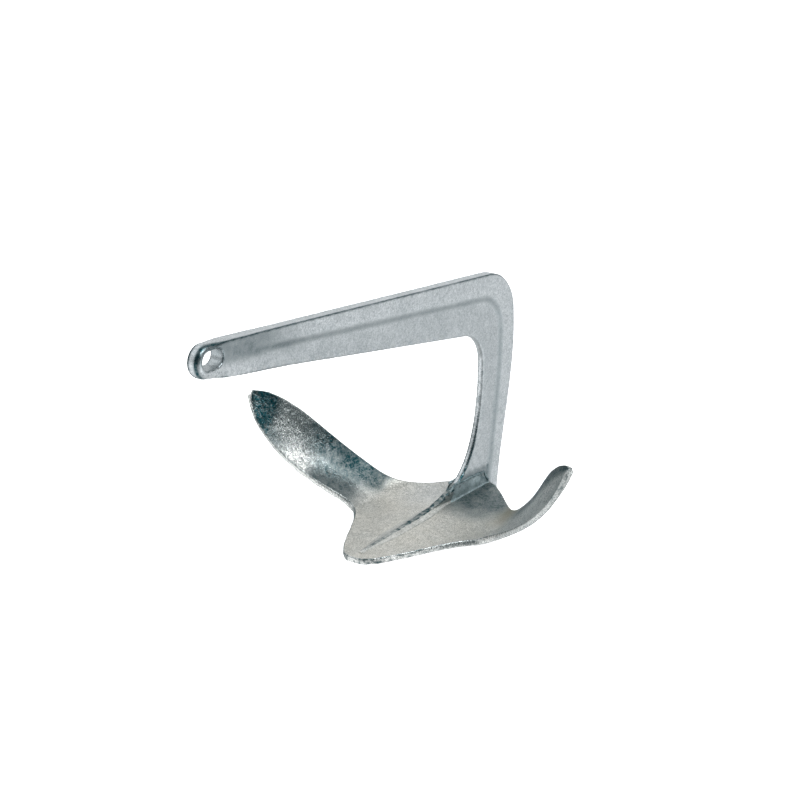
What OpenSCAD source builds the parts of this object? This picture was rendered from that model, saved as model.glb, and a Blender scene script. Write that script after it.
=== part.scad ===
// Claw anchor, hot-dip galvanised, five-kilogram class.
// Frame: origin at the centre of the shackle eye, +X from the crown towards the eye,
// +Y to port, +Z up with the palm level. Millimetres.

/* [Shackle eye] */
// Thickness of the eye across its cheeks
eye_t = 12; // [11:0.5:13]
// Outer radius of the rounded shank end
eye_r = 12.5; // [12.2:0.1:13.5]
// Length of the shackle slot along the shank, end to end
slot_len = 21.5; // [18:0.5:22]
// Height of the shackle slot
slot_h = 13.5; // [12:0.5:14]
// Radius that rounds the end of the eye all round
eye_round = 4; // [2:0.5:5]
// Width of the bevel around the mouth of the slot
slot_bevel = 1.2; // [0.5:0.1:1.5]

/* [Shank] */
// Thickness of the outer band of the shank
band_t = 10; // [9:0.5:11]
// Thickness of the recessed inner web
web_t = 6; // [5:0.5:7]
// Radius of the outer corner
corner_r = 42; // [36:1:48]
// Radius of the inner corner
throat_r = 30; // [24:1:34]
// Width of the soft step between band and web
step_w = 6; // [4:0.5:8]

/* [Claw] */
// Half of the width across the two fluke tips
half_w = 150; // [147:0.5:153]
// Distance from the eye back to the blunt toe
toe_back = 164.5; // [160:0.5:171]
// Distance the notch lies behind the toe
notch_depth = 83; // [77:0.5:87]
// Plate thickness near the edges
edge_t = 4.6; // [4:0.2:6]
// Extra thickness of the palm on the centreline
palm_extra = 7; // [3:0.5:8]
// Extra thickness of a fluke midway between its edges
fluke_extra = 1.4; // [0:0.2:2]

/* [Spine and welds] */
// Width of the spine rib where it leaves the shank
rib_w = 6; // [5:0.5:6.5]
// Height of the weld metal built up at the root of the shank
root_h = 16; // [13:1:18]
// Radius of the weld runs
bead_r = 2.2; // [1.6:0.1:2.6]
// Distance between the ripples of a weld run
bead_pitch = 5; // [4:0.5:7]

/* [Hidden] */
zinc = [0.66, 0.68, 0.69];
zinc_dark = [0.42, 0.46, 0.48];

// ---------- helpers ----------
function lerp(from, to, part) = from + (to - from) * part;
function clamp(part) = min(1, max(0, part));
function ease(part) = let (u = clamp(part)) u * u * (3 - 2 * u);
// eased 0 to 1 as a coordinate runs over a length from its start
function ramp(place, start, length) = ease((place - start) / length);
function unit(vec) = vec / norm(vec);
// point of a cubic Bezier curve with four control points
function bezier(ctrl, t) = pow(1 - t, 3) * ctrl[0] + 3 * t * pow(1 - t, 2) * ctrl[1]
                         + 3 * t * t * (1 - t) * ctrl[2] + pow(t, 3) * ctrl[3];
function curve(ctrl, steps) = [for (i = [0:steps]) bezier(ctrl, i / steps)];
// second coordinate of a curve where its first is y, found by halving the interval
function curve_at(ctrl, y, low = 0, high = 1, halvings = 22) =
    let (mid = (low + high) / 2)
    halvings == 0 ? bezier(ctrl, mid)[1]
    : bezier(ctrl, mid)[0] < y ? curve_at(ctrl, y, mid, high, halvings - 1)
    : curve_at(ctrl, y, low, mid, halvings - 1);
function arc(centre, radius, from, to, steps) =
    [for (i = [0:steps]) let (angle = lerp(from, to, i / steps))
        centre + radius * [cos(angle), sin(angle)]];

// closed solid through a list of rings with equal point counts
module skin(rings) {
    count = len(rings);
    size = len(rings[0]);
    polyhedron(
        points = [for (ring = rings) each ring],
        faces = concat(
            [[for (j = [size - 1:-1:0]) j]],
            [[for (j = [0:size - 1]) (count - 1) * size + j]],
            [for (i = [0:count - 2]) for (j = [0:size - 1])
                let (k = (j + 1) % size, this = i * size, next = this + size)
                each [[this + j, this + k, next + k], [this + j, next + k, next + j]]]),
        convexity = 6);
}

// ---------- claw ----------
// The leading edge faces the eye (+X), the trailing edge faces the crown (-X).
// Edge curves are Bezier control points: [y, x] in plan, [y, z] in height.
toe_x = -toe_back;
toe_half = 3.5;         // half width of the straight front of the toe
notch_x = toe_x - notch_depth;
wing_y = 64.5;          // where the leading edge passes from palm to fluke
wing_lead = [[wing_y, notch_x], [77.5, notch_x], [108.5, -226], [half_w, -222.5]];
palm_z = -207.5;
palm_level_y = 60;      // the leading edge is level out to here
lead_rise = [[palm_level_y, palm_z], [84.5, -194], [141.5, -165.5], [half_w, -121.5]];

// the trailing edge is two curves that meet at join_y
crown_x = -353;
crown_z = -207;
join_y = 73.5;
join_x = -292.5;
join_z = -192;
trail_in = [[0, crown_x], [22, crown_x + 0.5], [47.5, -306], [join_y, join_x]];
trail_out = [[join_y, join_x], [102, -275], [120, -250], [half_w, -234]];
trail_rise_in = [[0, crown_z], [31, crown_z - 0.3], [48.4, -215], [join_y, join_z]];
trail_rise_out = [[join_y, join_z], [108.5, -161.5], [119, -128], [half_w, -120.5]];

// quarter-round that blunts the end of a fluke over its last tip_len
tip_len = 10;
tip_r = 5.5;
function tip_cap(y) =
    let (part = clamp((y - half_w + tip_len) / tip_len)) tip_r * (1 - sqrt(1 - part * part));

function lead_x(y) = (y < wing_y
    ? toe_x - notch_depth * ramp(y, toe_half, wing_y - toe_half)
    : curve_at(wing_lead, y)) - tip_cap(y);
function lead_z(y) = y < palm_level_y ? palm_z : curve_at(lead_rise, y);
function trail_x(y) = curve_at(y < join_y ? trail_in : trail_out, y) + tip_cap(y);
function trail_z(y) = curve_at(y < join_y ? trail_rise_in : trail_rise_out, y);

// bow of the face between its edges: slightly raised on the palm, dished on the flukes
palm_camber = 1;
fluke_camber = -4.6;
camber_y = 70;          // the dish is full from here
camber_fade = 0.8;      // share of the dish lost by the tip
camber_slant = 0.4;     // share of the bow's X part that is applied
outer_y = 120;          // the dish and the plate thickness fade from here outwards
function camber(y) = lerp(palm_camber, fluke_camber, ramp(y, 0, camber_y))
    * (1 - ramp(y, outer_y, half_w - outer_y) * camber_fade);

// point on the upper face; y is signed, chord runs 0 at the leading edge to 1 at the trailing
function face(y, chord) =
    let (out = abs(y),
         lead = [lead_x(out), lead_z(out)],
         span = [trail_x(out), trail_z(out)] - lead,
         up = unit([span[1], -span[0]]),
         bow = camber(out) * 4 * chord * (1 - chord))
    [lead[0] + span[0] * chord + up[0] * bow * camber_slant, y,
     lead[1] + span[1] * chord + up[1] * bow];

// upward unit normal of the upper face, from nearby points kept inside its edges
normal_dy = 0.4;
normal_dchord = 0.01;
normal_inset = 0.2;
function face_normal(y, chord) =
    let (y_high = min(y + normal_dy, half_w - normal_inset),
         y_low = max(y - normal_dy, normal_inset - half_w),
         chord_low = max(0, chord - normal_dchord),
         chord_high = min(1, chord + normal_dchord),
         normal = unit(cross(face(y_high, chord) - face(y_low, chord),
                             face(y, chord_high) - face(y, chord_low))))
    normal * (normal[2] < 0 ? -1 : 1);

extra_y = 55;           // the extra thickness passes from palm to fluke over this width
tip_thinning = 0.8;
thinning_len = 34;
function plate_t(y, chord) =
    let (out = abs(y))
    edge_t + lerp(palm_extra, fluke_extra, ramp(out, 0, extra_y)) * ease(min(chord, 1 - chord) * 4)
    - tip_thinning * ramp(out, outer_y, thinning_len);

// height of the upper face over a point of the palm
function palm_top(x, y) =
    let (lead = lead_x(abs(y)), trail = trail_x(abs(y)))
    face(y, clamp((x - lead) / (trail - lead)))[2];

// stations across the claw: even over the palm, closing up towards the tips
palm_steps = 20;
wing_steps = 17;
split_y = 68;
last_y = half_w - 0.6;
half_stations = concat(
    [for (i = [0:palm_steps - 1]) split_y * i / palm_steps],
    [for (i = [0:wing_steps]) split_y + (last_y - split_y) * sin(90 * i / wing_steps)]);
stations = concat([for (i = [len(half_stations) - 1:-1:1]) -half_stations[i]], half_stations);

chord_steps = 12;
edge_bulge = 0.32;      // bulge of an edge, as a share of the plate thickness
function below_face(y, chord, depth) =
    face(y, chord) - face_normal(y, chord) * plate_t(y, chord) * depth;
// middle of an edge; dir is +1 for the leading edge, -1 for the trailing edge
function rim(y, chord, dir) =
    below_face(y, chord, 0.5) + [dir * plate_t(y, chord) * edge_bulge, 0, 0];
function claw_ring(y) = concat(
    [for (j = [0:chord_steps]) face(y, j / chord_steps)],
    [rim(y, 1, -1)],
    [for (j = [chord_steps:-1:0]) below_face(y, j / chord_steps, 1)],
    [rim(y, 0, 1)]);

// one casting: the level palm with its blunt toe, and a fluke sweeping up on each side
module claw() color(zinc) skin([for (y = stations) claw_ring(y)]);

// ---------- shank ----------
// Side outlines are [x, z] points. The arm narrows slightly from the corner to the eye.
eye_x = 3.6;            // centre of the rounded end
eye_z = -1;
top_slope = 0.098;
low_slope = 0.172;
top_angle = atan(top_slope);
low_angle = atan(low_slope);
function top_z(x) = eye_z + eye_r / cos(top_angle) + top_slope * (x - eye_x);
function low_z(x) = eye_z - eye_r / cos(low_angle) + low_slope * (x - eye_x);

back_x = -386.5;
corner_x = back_x + corner_r;
corner_z = top_z(corner_x) - corner_r / cos(top_angle);
front_x = -341.5;
throat_x = front_x + throat_r;
throat_z = low_z(throat_x) - throat_r / cos(low_angle);
foot_back_z = -221;
foot_front_x = -297;
foot_sink = 1.2;        // depth of the foot below the palm's upper face
foot_steps = 8;
post_steps = 14;
// back of the post downwards, and its front upwards, as Bezier control points
back_line = [[back_x, corner_z], [-391, -118], [-368, -168], [crown_x - 11, foot_back_z]];
front_line = [[foot_front_x, -197], [-333, -185], [-342, -140], [front_x, throat_z]];
foot_line = concat(
    [[crown_x - 0.5, foot_back_z]],
    [for (i = [0:foot_steps]) let (x = lerp(crown_x + 0.5, foot_front_x, i / foot_steps))
        [x, palm_top(x, 0) - foot_sink]]);
outline = concat(
    [[eye_x, low_z(eye_x)], [eye_x, top_z(eye_x)]],
    arc([corner_x, corner_z], corner_r, 90 + top_angle, 180, 14),
    curve(back_line, post_steps),
    foot_line,
    curve(front_line, post_steps),
    arc([throat_x, throat_z], throat_r, 180, 90 + low_angle, 10));

module side_view() {
    width = eye_t + 2;
    rotate([90, 0, 0]) translate([0, 0, -width / 2]) linear_extrude(width) polygon(outline);
}

// plan of the shank: round nose at the eye, easing down to the band thickness
module plan_view() {
    nose_x = eye_x + eye_r - eye_t / 2;
    port = [[nose_x, eye_t / 2], [-20, eye_t / 2], [-75, band_t / 2], [-400, band_t / 2]];
    starboard = [for (i = [3:-1:0]) [port[i][0], -port[i][1]]];
    translate([0, 0, -260]) linear_extrude(300) union() {
        translate([nose_x, 0]) circle(d = eye_t, $fn = 48);
        polygon(concat(port, starboard));
    }
}

// the rounded end: a disc whose rim is rounded on both sides
module eye_disc() {
    core_r = eye_r - eye_round;
    flat_half = eye_t / 2 - eye_round;
    translate([eye_x, 0, eye_z]) rotate([90, 0, 0]) rotate_extrude($fn = 96) union() {
        translate([0, -eye_t / 2]) square([core_r, eye_t]);
        translate([0, -flat_half]) square([eye_r, 2 * flat_half]);
        for (side = [-1, 1]) translate([core_r, side * flat_half])
            circle(r = eye_round, $fn = 48);
    }
}

// Wedge that eases a square edge of the arm into the rounded end.
// up is +1 for the top edge, -1 for the lower; side is +1 for port, -1 for starboard.
wedge_end_x = -19;
wedge_leg = eye_round * 0.75;
wedge_end_leg = 0.1;
function wedge_section(x, z, leg, up, side) =
    let (y = side * eye_t / 2, clear = 0.05, outside = 2)
    [[x, y - side * leg, z + up * clear],
     [x, y + side * clear, z - up * leg],
     [x, y + side * outside, z + up * outside]];
module edge_wedge(up, side) {
    z_eye = up > 0 ? top_z(eye_x) : low_z(eye_x);
    z_end = up > 0 ? top_z(wedge_end_x) : low_z(wedge_end_x);
    points = concat(wedge_section(eye_x + 0.2, z_eye, wedge_leg, up, side),
                    wedge_section(wedge_end_x, z_end, wedge_end_leg, up, side));
    faces = [[0, 1, 2], [5, 4, 3], [0, 3, 4], [0, 4, 1],
             [1, 4, 5], [1, 5, 2], [2, 5, 3], [2, 3, 0]];
    // a single mirroring turns the faces inside out, so their order is reversed
    polyhedron(points, up * side > 0 ? faces : [for (tri = faces) [tri[2], tri[1], tri[0]]]);
}

// inner border of the raised band: along the arm, round the corner, down the post
border_slope = 0.1226;
border_angle = atan(border_slope);
function border_z(x) = -0.7 + border_slope * x;
border_r = 32;
border_x = -367;
bend_x = border_x + border_r;
bend_z = border_z(bend_x) - border_r / cos(border_angle);
border_post = [[border_x, bend_z], [border_x, -130], [-355, -165], [-349, -226]];
// closed region of the recess; inset shifts its border inwards, start_x is its end by the eye
function recess(inset, start_x) = concat(
    [[start_x, low_z(start_x) - 2]],
    [for (i = [0:8]) let (x = lerp(start_x - 3, bend_x, i / 8)) [x, border_z(x) - inset]],
    arc([bend_x, bend_z], border_r - inset, 90 + border_angle, 180, 12),
    [for (point = curve(border_post, 12)) point + [inset, 0]],
    [[-280, -240], [-290, -120], [-300, -100]]);
function recess_ring(y, inset, start_x) =
    [for (point = recess(inset, start_x)) [point[0], y, point[1]]];
// port recess, opening out from the face of the web to just outside the eye's cheek
module recess_cut() skin([recess_ring(web_t / 2, step_w / 2, -86),
                          recess_ring(eye_t / 2 + 0.2, -step_w / 2 - 1.2, -24)]);

// shackle slot, its bevels carried past the cheeks by bevel_over
bevel_over = 1;
bevel_h = slot_bevel + bevel_over;
module slot_end(x) translate([x, 0, 0]) rotate([90, 0, 0]) {
    cylinder(d = slot_h, h = 40, center = true, $fn = 64);
    for (m = [0, 1]) mirror([0, 0, m]) translate([0, 0, eye_t / 2 - slot_bevel])
        cylinder(d1 = slot_h, d2 = slot_h + 2 * bevel_h, h = bevel_h, $fn = 64);
}
module slot_cut() {
    straight_half = (slot_len - slot_h) / 2;
    throat_y = eye_t / 2 - slot_bevel;
    mouth_y = eye_t / 2 + bevel_over;
    far_y = 20;
    throat = -slot_h / 2;
    mouth = throat - bevel_h;
    lower = [[-far_y, mouth], [-mouth_y, mouth], [-throat_y, throat],
             [throat_y, throat], [mouth_y, mouth], [far_y, mouth]];
    for (end = [-1, 1]) slot_end(end * straight_half);
    translate([-straight_half, 0, 0]) rotate([90, 0, 90]) linear_extrude(2 * straight_half)
        polygon(concat(lower, [for (point = lower) -point]));
}

// bent shank: slotted eye, raised outer band, thin inner web, and a foot flaring over the palm
module shank() color(zinc) difference() {
    union() {
        intersection() {
            side_view();
            plan_view();
        }
        intersection() {
            eye_disc();
            plan_view();
        }
    }
    for (up = [-1, 1]) for (side = [-1, 1]) edge_wedge(up, side);
    for (m = [0, 1]) mirror([0, m, 0]) recess_cut();
    slot_cut();
}

// ---------- spine rib ----------
rib_steps = 22;
rib_x0 = foot_front_x - 6;
rib_x1 = toe_x - 8;
rib_sink = 0.9;
// upper section of the rib: [share of half width, share of height]
rib_section = [[-1, 0.5], [-0.78, 0.84], [-0.3, 1], [0.3, 1], [0.78, 0.84], [1, 0.5]];
// height over the palm: drops away from the front of the post and dies out towards the toe
function rib_h(x) = 0.9 + 9.9 * exp((foot_front_x - x) / 22);
function rib_half(x) = rib_w / 2 * lerp(1, 0.4, clamp((x - rib_x0) / (rib_x1 - rib_x0)));
function rib_ring(x) =
    let (z = palm_top(x, 0), half = rib_half(x), height = rib_h(x))
    concat([[x, -half, z - rib_sink]],
           [for (share = rib_section) [x, half * share[0], z + height * share[1]]],
           [[x, half, z - rib_sink]]);
// low bar along the centre of the palm, from the foot of the shank to the toe
module spine_rib() color(zinc_dark)
    skin([for (i = [0:rib_steps]) rib_ring(lerp(rib_x0, rib_x1, pow(i / rib_steps, 1.25)))]);

// ---------- fillets ----------
// Section of a port fillet lying on the palm between y_in and y_out. The slope lists
// [share of the way out, share of the way down]; lift is the height of the outer edge.
fillet_sink = 0.8;
function fillet_ring(x, y_in, y_out, z_top, slope, lift) =
    let (z_out = palm_top(x, y_out))
    concat([[x, y_in, palm_top(x, y_in) - fillet_sink], [x, y_in, z_top]],
           [for (share = slope) [x, lerp(y_in, y_out, share[0]), lerp(z_top, z_out, share[1])]],
           [[x, y_out, z_out + lift], [x, y_out, z_out - fillet_sink]]);

// built-up metal at the root of the shank
root_steps = 24;
root_x0 = crown_x + 1.5;
root_x1 = foot_front_x + 9;
root_bend_x = -346;     // the top line bends here
root_bend_z = -211 + root_h;
root_heel_z = -208;
root_front_z = -192.5;
root_web_len = 42;
root_slope = [[0.4, 0.12], [0.5, 0.6], [0.68, 0.86]];
// runs 0 to 1 where the metal leaves the foot of the shank and sinks into the rib's flank
function root_front(x) = ramp(x, rib_x0, 14);
// runs 0 to 1 from the heel forwards
function root_back(x) = ramp(x, root_x0, 9);
function root_web_z(x) =
    lerp(root_bend_z, root_front_z, clamp((x - root_bend_x) / root_web_len));
function root_heel_line(x) =
    lerp(root_heel_z, root_bend_z, clamp((x - crown_x) / (root_bend_x - crown_x)));
// top line: nearly level over the web, falling to the heel, sinking to the rib in front
function root_top(x) = max(
    palm_top(x, 6) + lerp(0.3, 1.2, root_back(x)),
    x > root_bend_x ? lerp(root_web_z(x), palm_top(x, 0) + rib_h(x) * 0.5, root_front(x))
                    : root_heel_line(x));
// side of the shank, from the band in to the web
function root_side(x) = lerp(band_t / 2, web_t / 2, ramp(x, -355, 9));
function root_ring(x) =
    let (front = root_front(x),
         y_in = lerp(root_side(x) - 0.8, rib_half(x) - 1.6, front),
         y_out = lerp(root_side(x) + lerp(0.4, 1.2, root_back(x)), rib_half(x) - 0.2, front))
    fillet_ring(x, y_in, y_out, root_top(x), root_slope, lift = 0.2);
module root_fillet()
    skin([for (i = [0:root_steps]) root_ring(lerp(root_x0, root_x1, i / root_steps))]);
module root_fillet_port() color(zinc_dark) root_fillet();
module root_fillet_starboard() color(zinc_dark) mirror([0, 1, 0]) root_fillet();

// flat fillet from the side of the rib out onto the palm, narrow at both ends
spine_steps = 26;
spine_x0 = rib_x0 + 8;
spine_x1 = rib_x1 - 1;
spine_slope = [[0.34, 0.45], [0.68, 0.8]];
function spine_leg(x) = lerp(1, 5, ramp(x, -290, 34)) * (1 - 0.78 * ramp(x, -215, 40));
function spine_rise(x) = min(0.72 * rib_h(x), 2.6);
function spine_ring(x) = fillet_ring(x, rib_half(x) - 0.5, rib_half(x) + spine_leg(x),
    palm_top(x, 0) + spine_rise(x), spine_slope, lift = 0.15);
module spine_fillet()
    skin([for (i = [0:spine_steps]) spine_ring(lerp(spine_x0, spine_x1, i / spine_steps))]);
module weld_spine_port() color(zinc_dark) spine_fillet();
module weld_spine_starboard() color(zinc_dark) mirror([0, 1, 0]) spine_fillet();

// ---------- weld runs ----------
bead_ripple = 0.14;     // swell and shrink of the radius at alternate points
bead_end = 0.35;        // share of the radius left at the two ends
function bead_ring(centre, heading, radius) =
    let (dir = unit(heading), across = unit(cross(dir, [0, 0, 1])), up = cross(across, dir))
    [for (k = [0:9]) centre + radius * (cos(36 * k) * across + sin(36 * k) * up)];
// a run of overlapping ripples along the points of a path
module weld_run(path, radius) {
    last = len(path) - 1;
    skin([for (i = [0:last])
        let (k = min(i, last - 1),
             taper = i == 0 || i == last ? bead_end : 1,
             ripple = 1 + bead_ripple * (i % 2 == 0 ? 1 : -1))
        bead_ring(path[i], path[k + 1] - path[k], radius * taper * ripple)]);
}

// along the top of the root fillet, against the side of the shank
root_run_steps = round((root_x1 - root_x0) / bead_pitch * 2);
root_path = [for (i = [0:root_run_steps])
    let (x = lerp(root_x0, foot_front_x - 4, i / root_run_steps))
    [x, root_side(x) + 0.1, root_top(x) - 0.3]];
module root_run() weld_run(root_path, bead_r * 0.55);
module weld_root_port() color(zinc_dark) root_run();
module weld_root_starboard() color(zinc_dark) mirror([0, 1, 0]) root_run();

// across the heel, along the trailing edge at the crown
heel_half = 13;
heel_path = [for (i = [0:12])
    let (y = lerp(-heel_half, heel_half, i / 12), x = trail_x(abs(y)))
    [x - 1, y, palm_top(x, y) - 3]];
module weld_heel() color(zinc_dark) weld_run(heel_path, bead_r);

shank();
claw();
spine_rib();
root_fillet_port();
root_fillet_starboard();
weld_root_port();
weld_root_starboard();
weld_spine_port();
weld_spine_starboard();
weld_heel();
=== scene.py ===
"""A hot-dip galvanised claw anchor.

The shank's eye is at +X, its post comes down at -X onto the claw. The claw's toe points to +X
and its two flukes sweep up to +Y (port) and -Y (starboard). Shapes are worked out in the design's
millimetres and turned into metres in piece(). Shader scales, the floor and the camera are in metres.
"""
import math

import bpy
import numpy as np
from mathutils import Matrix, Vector


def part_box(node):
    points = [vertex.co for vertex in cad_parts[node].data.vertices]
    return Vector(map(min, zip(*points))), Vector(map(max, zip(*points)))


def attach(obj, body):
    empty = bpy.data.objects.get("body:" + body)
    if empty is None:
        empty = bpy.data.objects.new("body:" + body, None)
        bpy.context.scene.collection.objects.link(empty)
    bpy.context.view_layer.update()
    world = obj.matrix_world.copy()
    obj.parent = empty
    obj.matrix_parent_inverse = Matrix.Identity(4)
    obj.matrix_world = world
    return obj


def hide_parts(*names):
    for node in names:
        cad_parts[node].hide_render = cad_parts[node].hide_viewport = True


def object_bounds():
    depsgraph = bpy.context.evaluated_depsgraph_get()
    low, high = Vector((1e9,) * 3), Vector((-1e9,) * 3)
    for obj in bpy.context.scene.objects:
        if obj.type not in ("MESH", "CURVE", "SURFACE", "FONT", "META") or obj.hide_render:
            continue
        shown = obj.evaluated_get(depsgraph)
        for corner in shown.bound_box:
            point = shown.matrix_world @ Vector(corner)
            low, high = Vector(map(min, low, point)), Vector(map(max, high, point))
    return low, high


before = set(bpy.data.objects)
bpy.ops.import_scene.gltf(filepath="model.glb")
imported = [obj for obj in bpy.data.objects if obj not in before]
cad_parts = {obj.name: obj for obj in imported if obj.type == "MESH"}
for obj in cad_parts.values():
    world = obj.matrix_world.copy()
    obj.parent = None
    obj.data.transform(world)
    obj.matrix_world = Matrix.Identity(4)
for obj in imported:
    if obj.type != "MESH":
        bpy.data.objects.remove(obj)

CAD_LO, CAD_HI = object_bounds()


# ------------------------------------------------------------------ curves and noise
def lerp(a, b, t):
    return a + (b - a) * t


def ease(t):
    t = np.clip(t, 0, 1)
    return t * t * (3 - 2 * t)


def rise(value, start, span):
    """Eases from 0 at start to 1 at start + span."""
    return ease((value - start) / span)


def fall(value, end, span):
    """Eases from 1 at end - span to 0 at end."""
    return ease((end - value) / span)


def hill(value, centre, width):
    """A Gaussian bump of height 1."""
    return np.exp(-(((value - centre) / width) ** 2))


def bezier(control, t):
    p = np.asarray(control, float)
    t = np.asarray(t, float)[..., None]
    s = 1 - t
    return s**3 * p[0] + 3 * t * s**2 * p[1] + 3 * t * t * s * p[2] + t**3 * p[3]


def curve_at(control, value):
    """Second coordinate of a Bezier curve where its first, which must grow, has the given value."""
    value = np.asarray(value, float)
    lo, hi = np.zeros_like(value), np.ones_like(value)
    for _ in range(24):
        mid = (lo + hi) / 2
        below = bezier(control, mid)[..., 0] < value
        lo = np.where(below, mid, lo)
        hi = np.where(below, hi, mid)
    return bezier(control, (lo + hi) / 2)[..., 1]


def lattice_value(i, j, k, seed):
    """A repeatable random value from -1 to 1 for each lattice point."""
    mask = 0xFFFFFFFF
    h = (i * 374761393 + j * 668265263 + k * 2147483647 + seed * 144665) & mask
    h = ((h ^ (h >> 13)) * 1274126177) & mask
    h = ((h ^ (h >> 16)) * 2246822519) & mask
    return (((h ^ (h >> 15)) & 0xFFFFFF) / float(0xFFFFFF)) * 2 - 1


def vnoise(points, size, seed):
    """Smooth value noise from -1 to 1 with features of the given size."""
    scaled = points / size + 1000.0
    cell = np.floor(scaled)
    t = scaled - cell
    t = t * t * t * (t * (t * 6 - 15) + 10)
    cell = cell.astype(np.int64)
    weights = (1 - t, t)
    total = 0
    for i in (0, 1):
        for j in (0, 1):
            for k in (0, 1):
                weight = weights[i][:, 0] * weights[j][:, 1] * weights[k][:, 2]
                corner = cell + (i, j, k)
                total = total + weight * lattice_value(*corner.T, seed)
    return total


def fbm(points, size, seed, octaves=3, gain=0.5):
    """Value noise summed over octaves, still from -1 to 1."""
    total, strength, strengths = 0, 1.0, 0.0
    for octave in range(octaves):
        total = total + strength * vnoise(points, size / 2**octave, seed + 17 * octave)
        strengths += strength
        strength *= gain
    return total / strengths


# ------------------------------------------------------------------ meshes
def quad_corners(points, quads):
    return (points[quads[:, k]] for k in range(4))


def volume(points, quads):
    points = points - (points.min(0) + points.max(0)) / 2
    a, b, c, d = quad_corners(points, quads)
    halves = [np.einsum("ij,ij->i", a, np.cross(p, q)) for p, q in ((b, c), (c, d))]
    return (halves[0] + halves[1]).sum() / 6


def outward_normals(points, quads):
    a, b, c, d = quad_corners(points, quads)
    quad_normals = np.cross(c - a, d - b)
    normals = np.zeros_like(points)
    for k in range(4):
        np.add.at(normals, quads[:, k], quad_normals)
    normals = normals / (np.linalg.norm(normals, axis=1, keepdims=True) + 1e-12)
    return -normals if volume(points, quads) < 0 else normals


def fit(points, node):
    """Puts a shape exactly into the box of its CAD node."""
    box_lo, box_hi = (np.array(corner) * 1000 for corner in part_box(node))
    lo, hi = points.min(0), points.max(0)
    scale = np.clip((box_hi - box_lo) / (hi - lo), 0.9, 1.1)
    return (points - (lo + hi) / 2) * scale + (box_lo + box_hi) / 2


def loft(rings, node, sign=1, ends=None):
    """Joins closed rings with quads, fans each end shut round a middle point and fits the result.

    A sign of -1 mirrors it to starboard.
    """
    count, size = rings.shape[:2]
    i, j = np.meshgrid(np.arange(count - 1), np.arange(size), indexing="ij")
    k = (j + 1) % size
    corners = [i * size + j, i * size + k, (i + 1) * size + k, (i + 1) * size + j]
    quads = np.stack(corners, -1).reshape(-1, 4)
    if ends is None:
        ends = rings[[0, -1]].mean(1)
    tris = []
    for middle, start in ((count * size, 0), (count * size + 1, (count - 1) * size)):
        for j in range(size):
            a, b = start + j, start + (j + 1) % size
            tris.append([middle, b, a] if start == 0 else [middle, a, b])
    points = np.concatenate([rings.reshape(-1, 3), ends])
    points = fit(points * np.array([1, sign, 1]), node)
    return points, quads, tris, outward_normals(points, quads)


def on_rings(ring_values, points, at_ends):
    """Repeats one ring's values along a loft, with one value for its two end points."""
    count = (len(points) - 2) // len(ring_values)
    return np.concatenate([np.tile(ring_values, count), [at_ends, at_ends]])


def piece(name, points, quads, tris, material, slot, node, *, dark, warm, gloss, knob):
    """Makes one smooth object with its shader attributes in place of a CAD node."""
    mesh = bpy.data.meshes.new(name)
    points = points / 1000
    tris = np.asarray(tris, np.int64).reshape(-1, 3)
    if volume(points, quads) < 0:
        quads, tris = quads[:, ::-1], tris[:, ::-1]
    mesh.vertices.add(len(points))
    mesh.vertices.foreach_set("co", points.astype(np.float32).ravel())
    loops = np.concatenate([quads.ravel(), tris.ravel()])
    mesh.loops.add(len(loops))
    mesh.loops.foreach_set("vertex_index", loops.astype(np.int32))
    mesh.polygons.add(len(quads) + len(tris))
    starts = [np.arange(len(quads)) * 4, len(quads) * 4 + np.arange(len(tris)) * 3]
    mesh.polygons.foreach_set("loop_start", np.concatenate(starts).astype(np.int32))
    mesh.update(calc_edges=True)
    mesh.validate()
    for key, value in dict(dark=dark, warm=warm, gloss=gloss, knob=knob).items():
        values = np.broadcast_to(np.asarray(value, np.float32), (len(points),)).copy()
        mesh.attributes.new(key, "FLOAT", "POINT").data.foreach_set("value", values)
    mesh.polygons.foreach_set("use_smooth", np.ones(len(mesh.polygons), bool))
    mesh.materials.append(material)
    ob = bpy.data.objects.new(name, mesh)
    bpy.context.scene.collection.objects.link(ob)
    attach(ob, "root")
    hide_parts(node)


# ------------------------------------------------------------------ materials
class Shader:
    """Fills a node tree; every input takes a plain value or another node's socket."""

    def __init__(self, owner):
        owner.use_nodes = True
        self.tree = owner.node_tree
        self.tree.nodes.clear()

    def node(self, kind, inputs=None, **settings):
        node = self.tree.nodes.new("ShaderNode" + kind)
        for key, value in settings.items():
            setattr(node, key, value)
        for key, value in (inputs or {}).items():
            if isinstance(value, bpy.types.NodeSocket):
                self.tree.links.new(value, node.inputs[key])
            else:
                node.inputs[key].default_value = value
        return node

    def math(self, operation, a, b, clamp=False):
        return self.node("Math", {0: a, 1: b}, operation=operation, use_clamp=clamp).outputs[0]

    def add(self, a, b, clamp=False):
        return self.math("ADD", a, b, clamp)

    def times(self, a, b, clamp=False):
        return self.math("MULTIPLY", a, b, clamp)

    def spread(self, value, low, high, to_low=0.0, to_high=1.0):
        inputs = {"From Min": low, "From Max": high, "To Min": to_low, "To Max": to_high}
        inputs["Value"] = value
        return self.node("MapRange", inputs, interpolation_type="SMOOTHSTEP").outputs["Result"]

    def mix(self, factor, a, b):
        inputs = {"Factor": factor, 6: a, 7: b}
        return self.node("Mix", inputs, data_type="RGBA").outputs[2]


WARM_TINT = (0.42, 0.36, 0.24, 1)
# a dark teal used both for oxidised zinc and for painted shade and painted reflection
OXIDE_AND_SHADE = (0.000, 0.040, 0.050, 1)


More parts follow.
